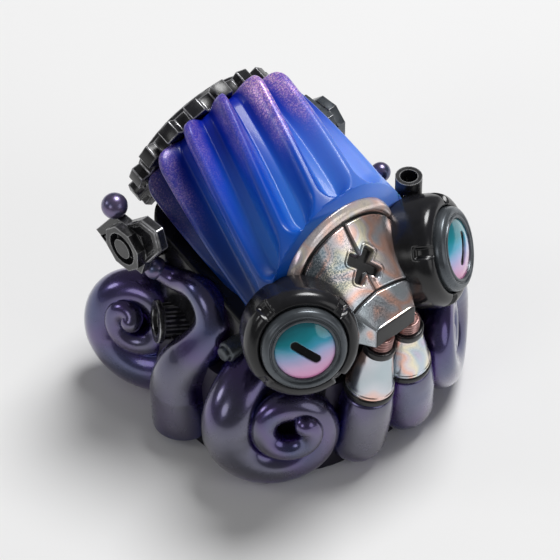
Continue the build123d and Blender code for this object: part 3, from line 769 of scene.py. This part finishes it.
for side, word in SIDES:
    foot, top = [Vector((LEG_MIDDLE + side * x, y, z)) for x, y, z in (LEG_FOOT, LEG_TOP)]
    z = (top - foot).normalized()
    x = (Vector((1, 0, 0)) - z * z.x).normalized()
    leg = (foot, x, z.cross(x), z)

    profile = ball_profile(LEG_BULB, LEG_POLE, math.pi / 2, 14)
    profile += [(r, LEG_SHOULDER * share) for r, share in LEG_SWELL]
    profile.append((CORE, LEG_SHOULDER + 0.02))
    name = "arm_fore_" + word
    finish_piece(name, fit_base(lathe(name, leg, profile, radius=0.25)), violet)

    low, high = LEG_SHOULDER, LEG_SHOULDER + BAND_HEIGHT
    swell = (BAND_RADIUS + BAND_SWELL, (low + high) / 2)
    profile = washer([(BAND_RADIUS, low), swell, (BAND_RADIUS, high)], low, high)
    name = "band_" + word
    mesh = lathe(name, leg, profile, radius=0.14, loop=True)
    even(finish_piece(name, mesh, plain_black, ["cuff_band_" + word]))

    low, high = high, high + CUFF_HEIGHT
    outline = [
        (CUFF_FOOT, low), (CUFF_FOOT, low + 0.2), (CUFF_FOOT - 0.07, low + 0.24),
        (CUFF_FOOT - 0.1, low + 0.5), (CUFF_TOP + 0.1, high - 0.7), (CUFF_TOP, high),
    ]
    name = "sleeve_" + word
    mesh = lathe(name, leg, washer(outline, low, high), radius=0.08, loop=True)
    even(finish_piece(name, mesh, silver, ["cuff_" + word]))

    low, up = high + RING_REACH[0], high + RING_REACH[1]
    profile = washer([(CUFF_TOP + RING_OVER, low), (CUFF_TOP + RING_OVER, up)], low, up)
    name = "neck_ring_" + word
    mesh = lathe(name, leg, profile, radius=0.1, loop=True)
    finish_piece(name, mesh, plain_black)

    profile = [(CORE - 0.05, high + NECK_REACH[0])]
    for i in range(NECK_RIBS):
        at = high + NECK_START + NECK_PITCH * i
        for over, step in ((0.02, 0.0), (0.12, 0.06), (0.12, 0.14), (0.02, 0.2)):
            profile.append((CORE + over, at + step))
    profile.append((CORE - 0.05, high + NECK_REACH[1]))
    name = "neck_" + word
    finish_piece(name, lathe(name, leg, profile, radius=0.03), copper)

# Head: a barrel that rises towards the back, with twisted ribs

HEAD_PITCH = 18.7
HEAD_BACK = (0.0, 6.35, 15.42)
HEAD_GRID = (480, 120)  # points round it and along it
RIBS = 12
RIB_PHASE = 70.0
RIB_TWIST = 33.0
RIB_LENGTH = 9.7
RIB_DEPTHS = (1.5, 0.75)  # at the back and at the front
STEEP_BANK = (0.4, 0.95)  # where the sides of a rib rise, as shares from valley to crest
GENTLE_BANK = (0.08, 0.92)
FLUTE_END = -4.0
FLUTE_CLOSING = 1.1  # how far before its end a flute starts to close
FLUTE_ROUND = 1.3  # and the length over which it closes
BACK_RADIUS = 5.4
FRONT_RADIUS = 5.53
STUB_LENGTH = 4.2
STUB_RADIUS = 5.2
TIP_DROP = 0.85
TIP_LENGTH = 1.1
MASK_BACK = -4.27
SEAT_DROP = 3.1
GLITTER = {40: 0.9, 70: 1.3, 100: 0.3, 130: 0.25, 160: 0.4, 190: 0.2}  # by a rib's angle
GLITTER_ALONG = (0.62, 0.1)  # none to full
LIT_ASIDE = (-0.1, 0.8)  # to the right
LIT_ALONG = (0.2, 0.75)
# Painted shade on the head, downwards and to the left:
SHADE_UNDER = (0.75, -0.25)  # downwards
SHADE_ASIDE = (0.1, -0.7)  # and to the left

head_tilt = math.radians(HEAD_PITCH)
head_axis = np.array([0.0, -math.cos(head_tilt), -math.sin(head_tilt)])
head_up = np.array([0.0, -math.sin(head_tilt), math.cos(head_tilt)])
head_back = np.array(HEAD_BACK)
seat = head_back + head_axis * (RIB_LENGTH / 2) - head_up * SEAT_DROP


def head_radius(d):
    """Radius over the ribs at a distance from the back: round tips, barrel, then stub."""
    if d > RIB_LENGTH:
        share = ((d - RIB_LENGTH) / STUB_LENGTH) ** 1.5
        return FRONT_RADIUS + (STUB_RADIUS - FRONT_RADIUS) * share
    left = 1 - min(d / TIP_LENGTH, 1.0)
    barrel = BACK_RADIUS + (FRONT_RADIUS - BACK_RADIUS) * d / RIB_LENGTH
    return barrel - TIP_DROP * (1 - math.sqrt(1 - left**2))


def head_mesh():
    """Barrel with wide flutes between narrow ribs; each flute ends round near the mask."""
    around, steps = HEAD_GRID
    turns = circle(around)
    cos, sin = np.cos(turns), np.sin(turns)
    ways = ways_round(turns, EX, head_up)
    flute_end = (HEAD_BACK[1] + head_up[1] * BACK_RADIUS * sin - FLUTE_END) / -head_axis[1]
    rings, crests, alongs, shines, painted_shades, lits = [], [], [], [], [], []
    for d in np.linspace(0, RIB_LENGTH + STUB_LENGTH, steps + 1):
        share = min(d / RIB_LENGTH, 1.0)
        phase = math.radians(RIB_PHASE + RIB_TWIST * d / RIB_LENGTH)
        offset = (turns - phase) * RIBS / (2 * math.pi)
        rib = np.round(offset)
        side = offset - rib
        end = np.clip((d - (flute_end - FLUTE_CLOSING)) / FLUTE_ROUND, 0.0, 1.0)
        width = np.maximum(np.sqrt(1 - end**2), 0.02)
        depth = RIB_DEPTHS[0] + (RIB_DEPTHS[1] - RIB_DEPTHS[0]) * share
        depth = depth * smoothstep(0.0, 0.5, width)
        spread = (1 - 2 * np.abs(side)) / width
        banks = smoothstep(*STEEP_BANK, spread), smoothstep(*GENTLE_BANK, spread)
        crest = np.where(side < 0, *banks)
        r = head_radius(d) - depth * (1 - crest)
        rings.append(head_back + head_axis * d + ways * r[:, None])
        angles = (RIB_PHASE + rib * 360 / RIBS) % 360
        glitter = np.array([GLITTER.get(round(a), 0.0) for a in angles])
        crests.append(crest)
        alongs.append(np.full(around, share))
        shines.append(glitter * smoothstep(*GLITTER_ALONG, share))
        # Painted light to the right, and painted shade below and to the left.
        lits.append(smoothstep(*LIT_ASIDE, cos) * smoothstep(*LIT_ALONG, share))
        painted_shades.append(smoothstep(*SHADE_UNDER, sin) * smoothstep(*SHADE_ASIDE, cos))
    mesh = mesh_of("head", *strips(rings))
    keep_values(mesh, crest=crests, along=alongs, shine=shines, low=painted_shades, lit=lits)
    with editing(mesh) as shape:
        for at, normal in (((0, MASK_BACK, 0), (0, -1, 0)), (seat, -head_up)):
            everything = shape.verts[:] + shape.edges[:] + shape.faces[:]
            cut = bmesh.ops.bisect_plane(
                shape, geom=everything, plane_co=Vector(at) * MM, plane_no=Vector(normal),
                clear_outer=True,
            )
            rim = [e for e in cut["geom_cut"] if isinstance(e, bmesh.types.BMEdge)]
            bmesh.ops.holes_fill(shape, edges=rim, sides=0)
        bmesh.ops.recalc_face_normals(shape, faces=shape.faces)
    return mesh


# Torso: smooth black body that carries the head, and what the face leans on

TORSO_FOOT = 4.8
TORSO_WIDTH = 13.06
TORSO_CORNER = 4.5
SEAT_WIDTH = 10.86
SEAT_DEPTH = 11.26
SEAT_CORNER = 2.0
SEAT_SHIFT = -1.4
SEAT_EDGE = ((0.995, 0.0), (0.97, 0.02), (0.93, 0.03))  # shrinking and lift round its edge
BLOCK_WIDTH = 8.8
BLOCK_DEPTH = 2.63
BLOCK_CORNER = 0.5
BLOCK_MIDDLE = -5.585
BLOCK_LEVELS = ((TORSO_FOOT, 0.0), (9.9, 0.0), (10.04, 0.04), (10.09, 0.16))  # height and inset
LUG_AT = (0, 5.4, 10.7)
LUG = [(0.01, -7.0), (0.9, -7.0), (0.9, 7.0), (0.01, 7.0)]


def torso_mesh():
    """Body that blends from a rounded square to the head's tilted seat."""
    low = rounded_ring(EZ * TORSO_FOOT, EX, EY, TORSO_WIDTH, TORSO_WIDTH, TORSO_CORNER)
    high = rounded_ring(seat, EX, -head_axis, SEAT_WIDTH, SEAT_DEPTH, SEAT_CORNER, SEAT_SHIFT)
    middle = high.mean(axis=0)
    rings = [low + (high - low) * t for t in np.linspace(0, 0.96, 12)]
    for shrink, lift in SEAT_EDGE:
        rings.append(middle + (high - middle) * shrink + head_up * lift)
    return mesh_of("torso", *strips(rings))


def block_mesh():
    """Block behind the nose that the mask and the front arms lean on."""
    rings = []
    for height, inset in BLOCK_LEVELS:
        centre = np.array([0.0, BLOCK_MIDDLE, height])
        width, depth = BLOCK_WIDTH - 2 * inset, BLOCK_DEPTH - 2 * inset
        rings.append(rounded_ring(centre, EX, EY, width, depth, BLOCK_CORNER))
    return mesh_of("nose_block", *strips(rings))


finish_piece("torso", torso_mesh(), plain_black)
finish_piece("nose_block", block_mesh(), plain_black)
lug_mesh = lathe("lug", (LUG_AT, EY, EZ, EX), LUG, radius=0.1)
even(finish_piece("lug", lug_mesh, black))
finish_piece("head", head_mesh(), head_resin("blue_resin"), ["ribbed_head"])

# Mask: arches with a raised rim, seams and a turned cross

MASK_GRID = (200, 300, 24)  # rows, points round the arch and points up each wall
MASK_AT = (MASK_BACK, -6.53, -9.1)  # places of the three arches that it runs through
MASK_HALF = (3.95, 2.95, 1.55)
MASK_SPRING = (13.5, 12.5, 11.1)
MASK_TOP = (16.6, 13.87, 11.55)
MASK_BOTTOM = 10.1
MASK_SQUARING = 0.6  # how much squarer the arch is at the nose
RIM_BAND = 0.75
RIM_EDGE = 0.06
RIM_HEIGHT = 0.06
RIM_CROWN = 0.1
RIM_GROOVE = (0.16, 0.2)  # its distance from the rim and its width
CROSS_AT = 3.55
CROSS_REACH = 1.12
CROSS_HALF = 0.34
CROSS_CORNER = 0.14
CROSS_TURN = 40.0
CROSS_DEPTH = 0.42
CROSS_LIP = 0.05
CROSS_EDGE = (0.03, -0.05)
CROSS_LIP_EDGE = (0.22, 0.1)
SEAM_AT = 5.2
SEAM_BEND = 0.12
SEAM_HALF = 3.0
SEAM_WIDTH = 0.18
SEAM_DEPTH = 0.14
# Painted shade on the mask's left cheek, away from the key lamp:
CHEEK_SHADE = 0.85  # on the left cheek, by the distances aside and along
CHEEK_SHADE_ASIDE = (0.4, 1.5)
CHEEK_SHADE_ALONG = (4.6, 3.4)
NOSE_EDGE = (  # shrinking, reach and blackness of the rings that close the nose
    (0.995, -0.03, 0.0), (0.985, -0.06, 0.3), (0.97, -0.085, 1.0), (0.95, -0.1, 1.0),
    (0.9, -0.11, 1.0),
)


def mask_grid():
    """Rows of points over the arches, with no relief."""
    rows, columns, wall = MASK_GRID
    ys = np.linspace(MASK_AT[0], MASK_AT[2], rows)
    curves = (MASK_HALF, MASK_SPRING, MASK_TOP)
    half, spring, top = [np.polyval(np.polyfit(MASK_AT, c, 2), ys) for c in curves]
    a = np.linspace(0, math.pi, columns)
    grid = np.zeros((rows, columns + 2 * wall, 3))
    for i in range(rows):
        up = np.linspace(MASK_BOTTOM, spring[i], wall + 1)[:-1]
        power = 1.0 - MASK_SQUARING * i / (rows - 1)
        cos = np.sign(np.cos(a)) * np.abs(np.cos(a)) ** power
        sin = np.abs(np.sin(a)) ** power
        xs = np.concatenate([np.full(wall, half[i]), half[i] * cos, np.full(wall, -half[i])])
        zs = np.concatenate([up, spring[i] + (top[i] - spring[i]) * sin, up[::-1]])
        grid[i] = np.stack([xs, np.full(len(xs), ys[i]), zs], 1)
    return grid


def cross_distance(u, v):
    """Distance outside a cross with round corners, and less than 0 inside it."""
    bars = []
    for p, q in ((u, v), (v, u)):
        over = np.maximum(np.abs(p) - (CROSS_REACH - CROSS_CORNER), 0.0)
        wide = np.maximum(np.abs(q) - (CROSS_HALF - CROSS_CORNER), 0.0)
        bars.append(np.hypot(over, wide) - CROSS_CORNER)
    return np.minimum(*bars)


def groove_line(distance, width):
    """1 within a width round a line and 0 beside it."""
    return smoothstep(width / 2 + 0.05, width / 2 - 0.03, np.abs(distance))


def mask_mesh():
    """Arches with relief by the distances along and aside of the crown line."""
    grid = mask_grid()
    crown_line = grid.shape[1] // 2
    along = np.cumsum(np.linalg.norm(np.diff(grid, axis=0, prepend=grid[:1]), axis=2), axis=0)
    step = np.linalg.norm(np.diff(grid, axis=1, prepend=grid[:, :1]), axis=2)
    aside = np.cumsum(step, axis=1)
    aside -= aside[:, crown_line][:, None]
    normal = np.cross(np.gradient(grid, axis=1), np.gradient(grid, axis=0))
    normal /= np.linalg.norm(normal, axis=2)[:, :, None] + 1e-12
    normal *= np.sign((normal * (grid - EZ * MASK_BOTTOM)).sum(axis=2, keepdims=True))

    turn = math.radians(CROSS_TURN)
    u = aside * math.cos(turn) + (along - CROSS_AT) * math.sin(turn)
    v = -aside * math.sin(turn) + (along - CROSS_AT) * math.cos(turn)
    cross = cross_distance(u, v)
    cross_cut = smoothstep(*CROSS_EDGE, cross)
    cross_lip = smoothstep(*CROSS_LIP_EDGE, cross) * (1 - cross_cut)
    rim = smoothstep(RIM_BAND + RIM_EDGE, RIM_BAND - RIM_EDGE, along)
    crown = np.sin(np.clip(along / RIM_BAND, 0, 1) * math.pi)
    rim_groove = groove_line(along - RIM_BAND - RIM_GROOVE[0], RIM_GROOVE[1])
    middle = groove_line(aside, SEAM_WIDTH) * (along > RIM_BAND) * (along < SEAM_AT) * (cross > 0)
    seam = along[:, crown_line][:, None] - SEAM_AT - SEAM_BEND * np.abs(aside)
    seam = groove_line(seam, SEAM_WIDTH) * (np.abs(aside) < SEAM_HALF)
    cuts = np.maximum(np.maximum(rim_groove, middle), seam)
    height = rim * (RIM_HEIGHT + RIM_CROWN * crown) + CROSS_LIP * cross_lip
    height = height - SEAM_DEPTH * cuts - CROSS_DEPTH * cross_cut
    grid = grid + normal * height[:, :, None]
    grid[:, :, 2] = np.maximum(grid[:, :, 2], MASK_BOTTOM)
    grid[0, :, 1] = MASK_BACK

    plain = np.zeros(grid.shape[1])
    rings = list(grid)
    dark = [plain] + list(np.maximum(cuts, cross_cut)[1:])
    bright = list(rim)
    # Painted shade over the left cheek, off the rim.
    cheek = smoothstep(*CHEEK_SHADE_ASIDE, aside) * smoothstep(*CHEEK_SHADE_ALONG, along)
    dull = list(CHEEK_SHADE * cheek * (1 - rim))
    front = grid[-1]
    centre = front.mean(axis=0)
    for shrink, reach, tone in NOSE_EDGE:
        ring = centre + (front - centre) * shrink
        ring[:, 1] = MASK_AT[2] + reach
        rings.append(ring)
        dark.append(plain + tone)
        bright.append(plain)
        dull.append(plain)
    mesh = mesh_of("mask", *strips(rings))
    keep_values(mesh, groove=dark, rim=bright, dull=dull)
    return mesh


mask_silver = silver_resin("grooved_silver_resin", True)
finish_piece("mask", mask_mesh(), mask_silver, ["mask_plate"])

# Goggles: housings with notches, bezels and lenses, as (radius, height) on the goggle's axis

HOUSING = [
    (AXIS, -4.05), (2.7, -4.05), (3.3, -3.3), (3.35, -2.5), (3.35, -1.25), (3.18, -0.78),
    (2.9, -0.56), (2.62, -0.52), (2.5, -0.7), (2.48, -1.0), (AXIS, -1.0),
]
HOUSING_STEPS = 256
HOUSING_WALL = 2.5  # radius from which the profile is split finely for the notches
HOUSING_SPLIT = 0.05
NOTCH_TURN = 40.0
NOTCH_HALF = 0.3
NOTCH_DEPTH = 0.32
NOTCH_BACK = -1.5
NOTCH_FADE = (2.6, 2.95)  # radii between which a notch gets its depth
BEZEL = [
    (LENS_RADIUS, -1.0), (2.48, -1.0), (2.48, -0.36), (2.42, -0.14), (2.26, 0.0), (2.1, 0.04),
    (2.02, -0.06), (1.96, -0.07), (1.92, 0.03), (1.8, 0.03), (1.75, -0.06),
]
LENS_STEPS = (46, 128)  # rings, and points round each
LENS_HUB = 0.01  # share of the radius at the last ring
LENS_RISE = 0.3
LENS_EDGE = -0.1
LENS_BACK = -1.0
PUPIL_LENGTH = 2.05
PUPIL_WIDTH = 0.55
PUPIL_SLANT = 38.0
PUPIL_FLOOR = 0.11
PUPIL_EDGE = (0.02, -0.04)


def housing_mesh(name, side):
    """Turned housing with four notches in its front edge."""
    centre, across, up, out = [np.array(v) for v in goggle_frame(side)]
    corners = soften(HOUSING, radius=0.3, loop=False)
    profile = []
    for p, q in zip(corners, corners[1:]):
        count = 1
        if min(p[0], q[0]) > HOUSING_WALL:
            count = max(1, int(np.linalg.norm(q - p) / HOUSING_SPLIT))
        profile += [p + (q - p) * k / count for k in range(count)]
    profile.append(corners[-1])
    turns = circle(HOUSING_STEPS)
    ways = ways_round(turns, across, up)
    quarter = math.pi / 2
    near = (turns - math.radians(NOTCH_TURN) + quarter / 2) % quarter - quarter / 2
    rings = []
    for r, h in profile:
        wide = smoothstep(NOTCH_HALF + 0.08, NOTCH_HALF - 0.06, np.abs(near) * r)
        deep = smoothstep(NOTCH_BACK - 0.1, NOTCH_BACK + 0.1, h) * smoothstep(*NOTCH_FADE, r)
        rings.append(centre + ways * (r - NOTCH_DEPTH * wide * deep)[:, None] + out * h)
    return mesh_of(name, *strips(rings))


def lens_mesh(name, side):
    """Dome with a slot for a pupil, whose faces take the second material."""
    centre, across, up, out = [np.array(v) for v in goggle_frame(side)]
    slant = math.radians(PUPIL_SLANT)
    ring_count, steps = LENS_STEPS
    turns = circle(steps)
    ways = ways_round(turns, across, up)
    edge = centre + ways * LENS_RADIUS
    rings = [edge + out * LENS_BACK, edge + out * LENS_EDGE]
    pupils = [np.zeros(steps), np.zeros(steps)]
    for r in np.linspace(1, LENS_HUB, ring_count) * LENS_RADIUS:
        u, v = r * np.cos(turns), r * np.sin(turns)
        p = u * math.cos(slant) - v * math.sin(slant)
        q = u * math.sin(slant) + v * math.cos(slant)
        over = np.maximum(np.abs(p) - (PUPIL_LENGTH - PUPIL_WIDTH) / 2, 0.0)
        inside = smoothstep(*PUPIL_EDGE, np.hypot(over, q) - PUPIL_WIDTH / 2)
        h = LENS_RISE - (LENS_RISE - LENS_EDGE) * (r / LENS_RADIUS) ** 2
        h = h + (min(h, PUPIL_FLOOR) - h) * inside
        rings.append(centre + ways * r + np.outer(h, out))
        pupils.append(inside)
    mesh = mesh_of(name, *strips(rings))
    keep_values(mesh, pupil=pupils)
    inside = np.concatenate(pupils)
    for polygon in mesh.polygons:
        if len(polygon.vertices) == 4 and min(inside[i] for i in polygon.vertices) > 0.5:
            polygon.material_index = 1
    return mesh


for side, word in SIDES:
    name = "eye_" + word
    glass = lens_resin(name + "_resin", side)
    mesh = lens_mesh(name, side)
    finish_piece(name, mesh, glass, ["lens_" + word])
    mesh.materials.append(pupil_black)
    name = "eye_ring_" + word
    mesh = lathe(name, goggle_frame(side), BEZEL, radius=0.05, loop=True, steps=128)
    even(finish_piece(name, mesh, grey, ["bezel_" + word]))
    name = "housing_" + word
    finish_piece(name, housing_mesh(name, side), gloss_black, ["goggle_" + word])

# Collar, side plates, knob and pipe: the solids with their edges rounded and rubbed

EDGE_WIDTH = 0.07
EDGE_ANGLE = 28.0


def rub_edges(piece):
    """Rounds the edges of a piece and shows them worn."""
    bevel = piece.modifiers.new("edges", "BEVEL")
    bevel.width = EDGE_WIDTH * MM
    bevel.segments = 2
    bevel.limit_method = "ANGLE"
    bevel.angle_limit = math.radians(EDGE_ANGLE)
    bevel.material = 1
    piece.data.materials.append(worn_edge)
    return even(piece)


for node, material in (
    ("gear_collar", black),
    ("valve_plate_left", black),
    ("knurled_knob", black),
    ("breather_pipe", black),
    # The right plate takes the lighter slate: partly its worn metal, partly a painted highlight.
    ("valve_plate_right", grey),
):
    mesh = nodes[node].data.copy()
    mesh.materials.clear()
    with editing(mesh) as shape:
        bmesh.ops.remove_doubles(shape, verts=shape.verts, dist=0.002 * MM)
        bmesh.ops.dissolve_limit(
            shape, angle_limit=math.radians(1.0), verts=shape.verts, edges=shape.edges
        )
    for polygon in mesh.polygons:
        polygon.use_smooth = True
    rub_edges(finish_piece("piece_" + node, mesh, material, [node]))

# Bolt beside the left goggle: a washer with a domed head

BOLT_AT = (-6.0, -2.05, 7.85)
BOLT = [
    (AXIS, -0.4), (0.62, -0.4), (0.64, 0.62), (0.58, 0.7), (0.46, 0.7), (0.46, 0.9),
    (0.4, 1.0), (0.2, 1.04), (AXIS, 1.04),
]
bolt_mesh = lathe("bolt", (BOLT_AT, EY, -EZ, -EX), BOLT, radius=0.06)
even(finish_piece("bolt", bolt_mesh, grey, ["strap_bolt"]))

# Beak of the left bracket: a plate with a raised rim, under the nut

BEAK = [  # y and z of its corners
    (8.0, 10.7), (6.1, 12.8), (4.25, 14.6), (2.9, 14.6), (2.5, 13.3), (3.58, 11.65),
    (5.59, 9.8), (6.95, 10.1),
]
BEAK_LEVELS = (  # x and growth, from the back to the sunk front
    (-6.9, 0.9), (-6.95, 1.0), (-7.5, 1.0), (-7.6, 0.95), (-7.6, 0.8), (-7.45, 0.74),
)


def beak_mesh():
    outline = np.array(BEAK)
    middle = outline.mean(axis=0)
    rings = []
    for x, grow in BEAK_LEVELS:
        rings.append([(x, y, z) for y, z in middle + (outline - middle) * grow])
    return mesh_of("beak", *strips(rings), smooth=False)


rub_edges(finish_piece("beak", beak_mesh(), black))

# Camera, light and floor

VIEW_BACK = Vector((-0.4735, -0.5168, 0.7133))
VIEW_RIGHT = Vector((0.737, -0.676, 0.0)).normalized()
VIEW_UP = VIEW_BACK.cross(VIEW_RIGHT).normalized()
VIEW_AIM = Vector((0, 0, 7.76)) - VIEW_RIGHT * 0.470 - VIEW_UP * 0.059
VIEW_DISTANCE = 252.0
VIEW_ANGLE = 7.47
LAMP_AIM = (0, 0, 8)
LAMPS = (  # name, place, diameter and watts
    ("key", (220, 45, 446), 240, 2.2),
    ("front", (110, -400, 190), 300, 0.26),
    ("fill", (-450, -60, 260), 200, 0.22),
    ("rim", (-330, 330, 240), 150, 0.22),
)
FLOOR_HALF = 1200.0
FLOOR_TONE = 0.86
WORLD_STRENGTH = 0.14

camera_data = bpy.data.cameras.new("camera")
camera_data.angle = math.radians(VIEW_ANGLE)
camera_data.clip_start = 5.0 * MM
camera = bpy.data.objects.new("camera", camera_data)
scene.collection.objects.link(camera)
back = VIEW_BACK.normalized()
turn = Matrix((VIEW_RIGHT, VIEW_UP, back)).transposed().to_4x4()
camera.matrix_world = Matrix.Translation((VIEW_AIM + back * VIEW_DISTANCE) * MM) @ turn
scene.camera = camera

for name, place, size, watts in LAMPS:
    data = bpy.data.lights.new(name, "AREA")
    data.shape = "DISK"
    data.size = size * MM
    data.energy = watts
    lamp = bpy.data.objects.new(name, data)
    scene.collection.objects.link(lamp)
    lamp.location = Vector(place) * MM
    way = Vector(LAMP_AIM) - Vector(place)
    lamp.rotation_euler = way.to_track_quat("-Z", "Y").to_euler()

half = FLOOR_HALF * MM
floor_mesh = bpy.data.meshes.new("floor")
corners = [(-half, -half, 0), (half, -half, 0), (half, half, 0), (-half, half, 0)]
floor_mesh.from_pydata(corners, [], [(0, 1, 2, 3)])
floor = bpy.data.objects.new("floor", floor_mesh)
scene.collection.objects.link(floor)
pale = Tree("pale_floor")
pale.set(Base_Color=(*[FLOOR_TONE] * 3, 1.0), Roughness=0.9, Specular_IOR_Level=0.1)
floor_mesh.materials.append(pale.material)

world = bpy.data.worlds.new("studio")
scene.world = world
world.use_nodes = True
background = world.node_tree.nodes["Background"]
background.inputs["Color"].default_value = (1, 1, 1, 1)
background.inputs["Strength"].default_value = WORLD_STRENGTH

scene.view_settings.view_transform = "Standard"
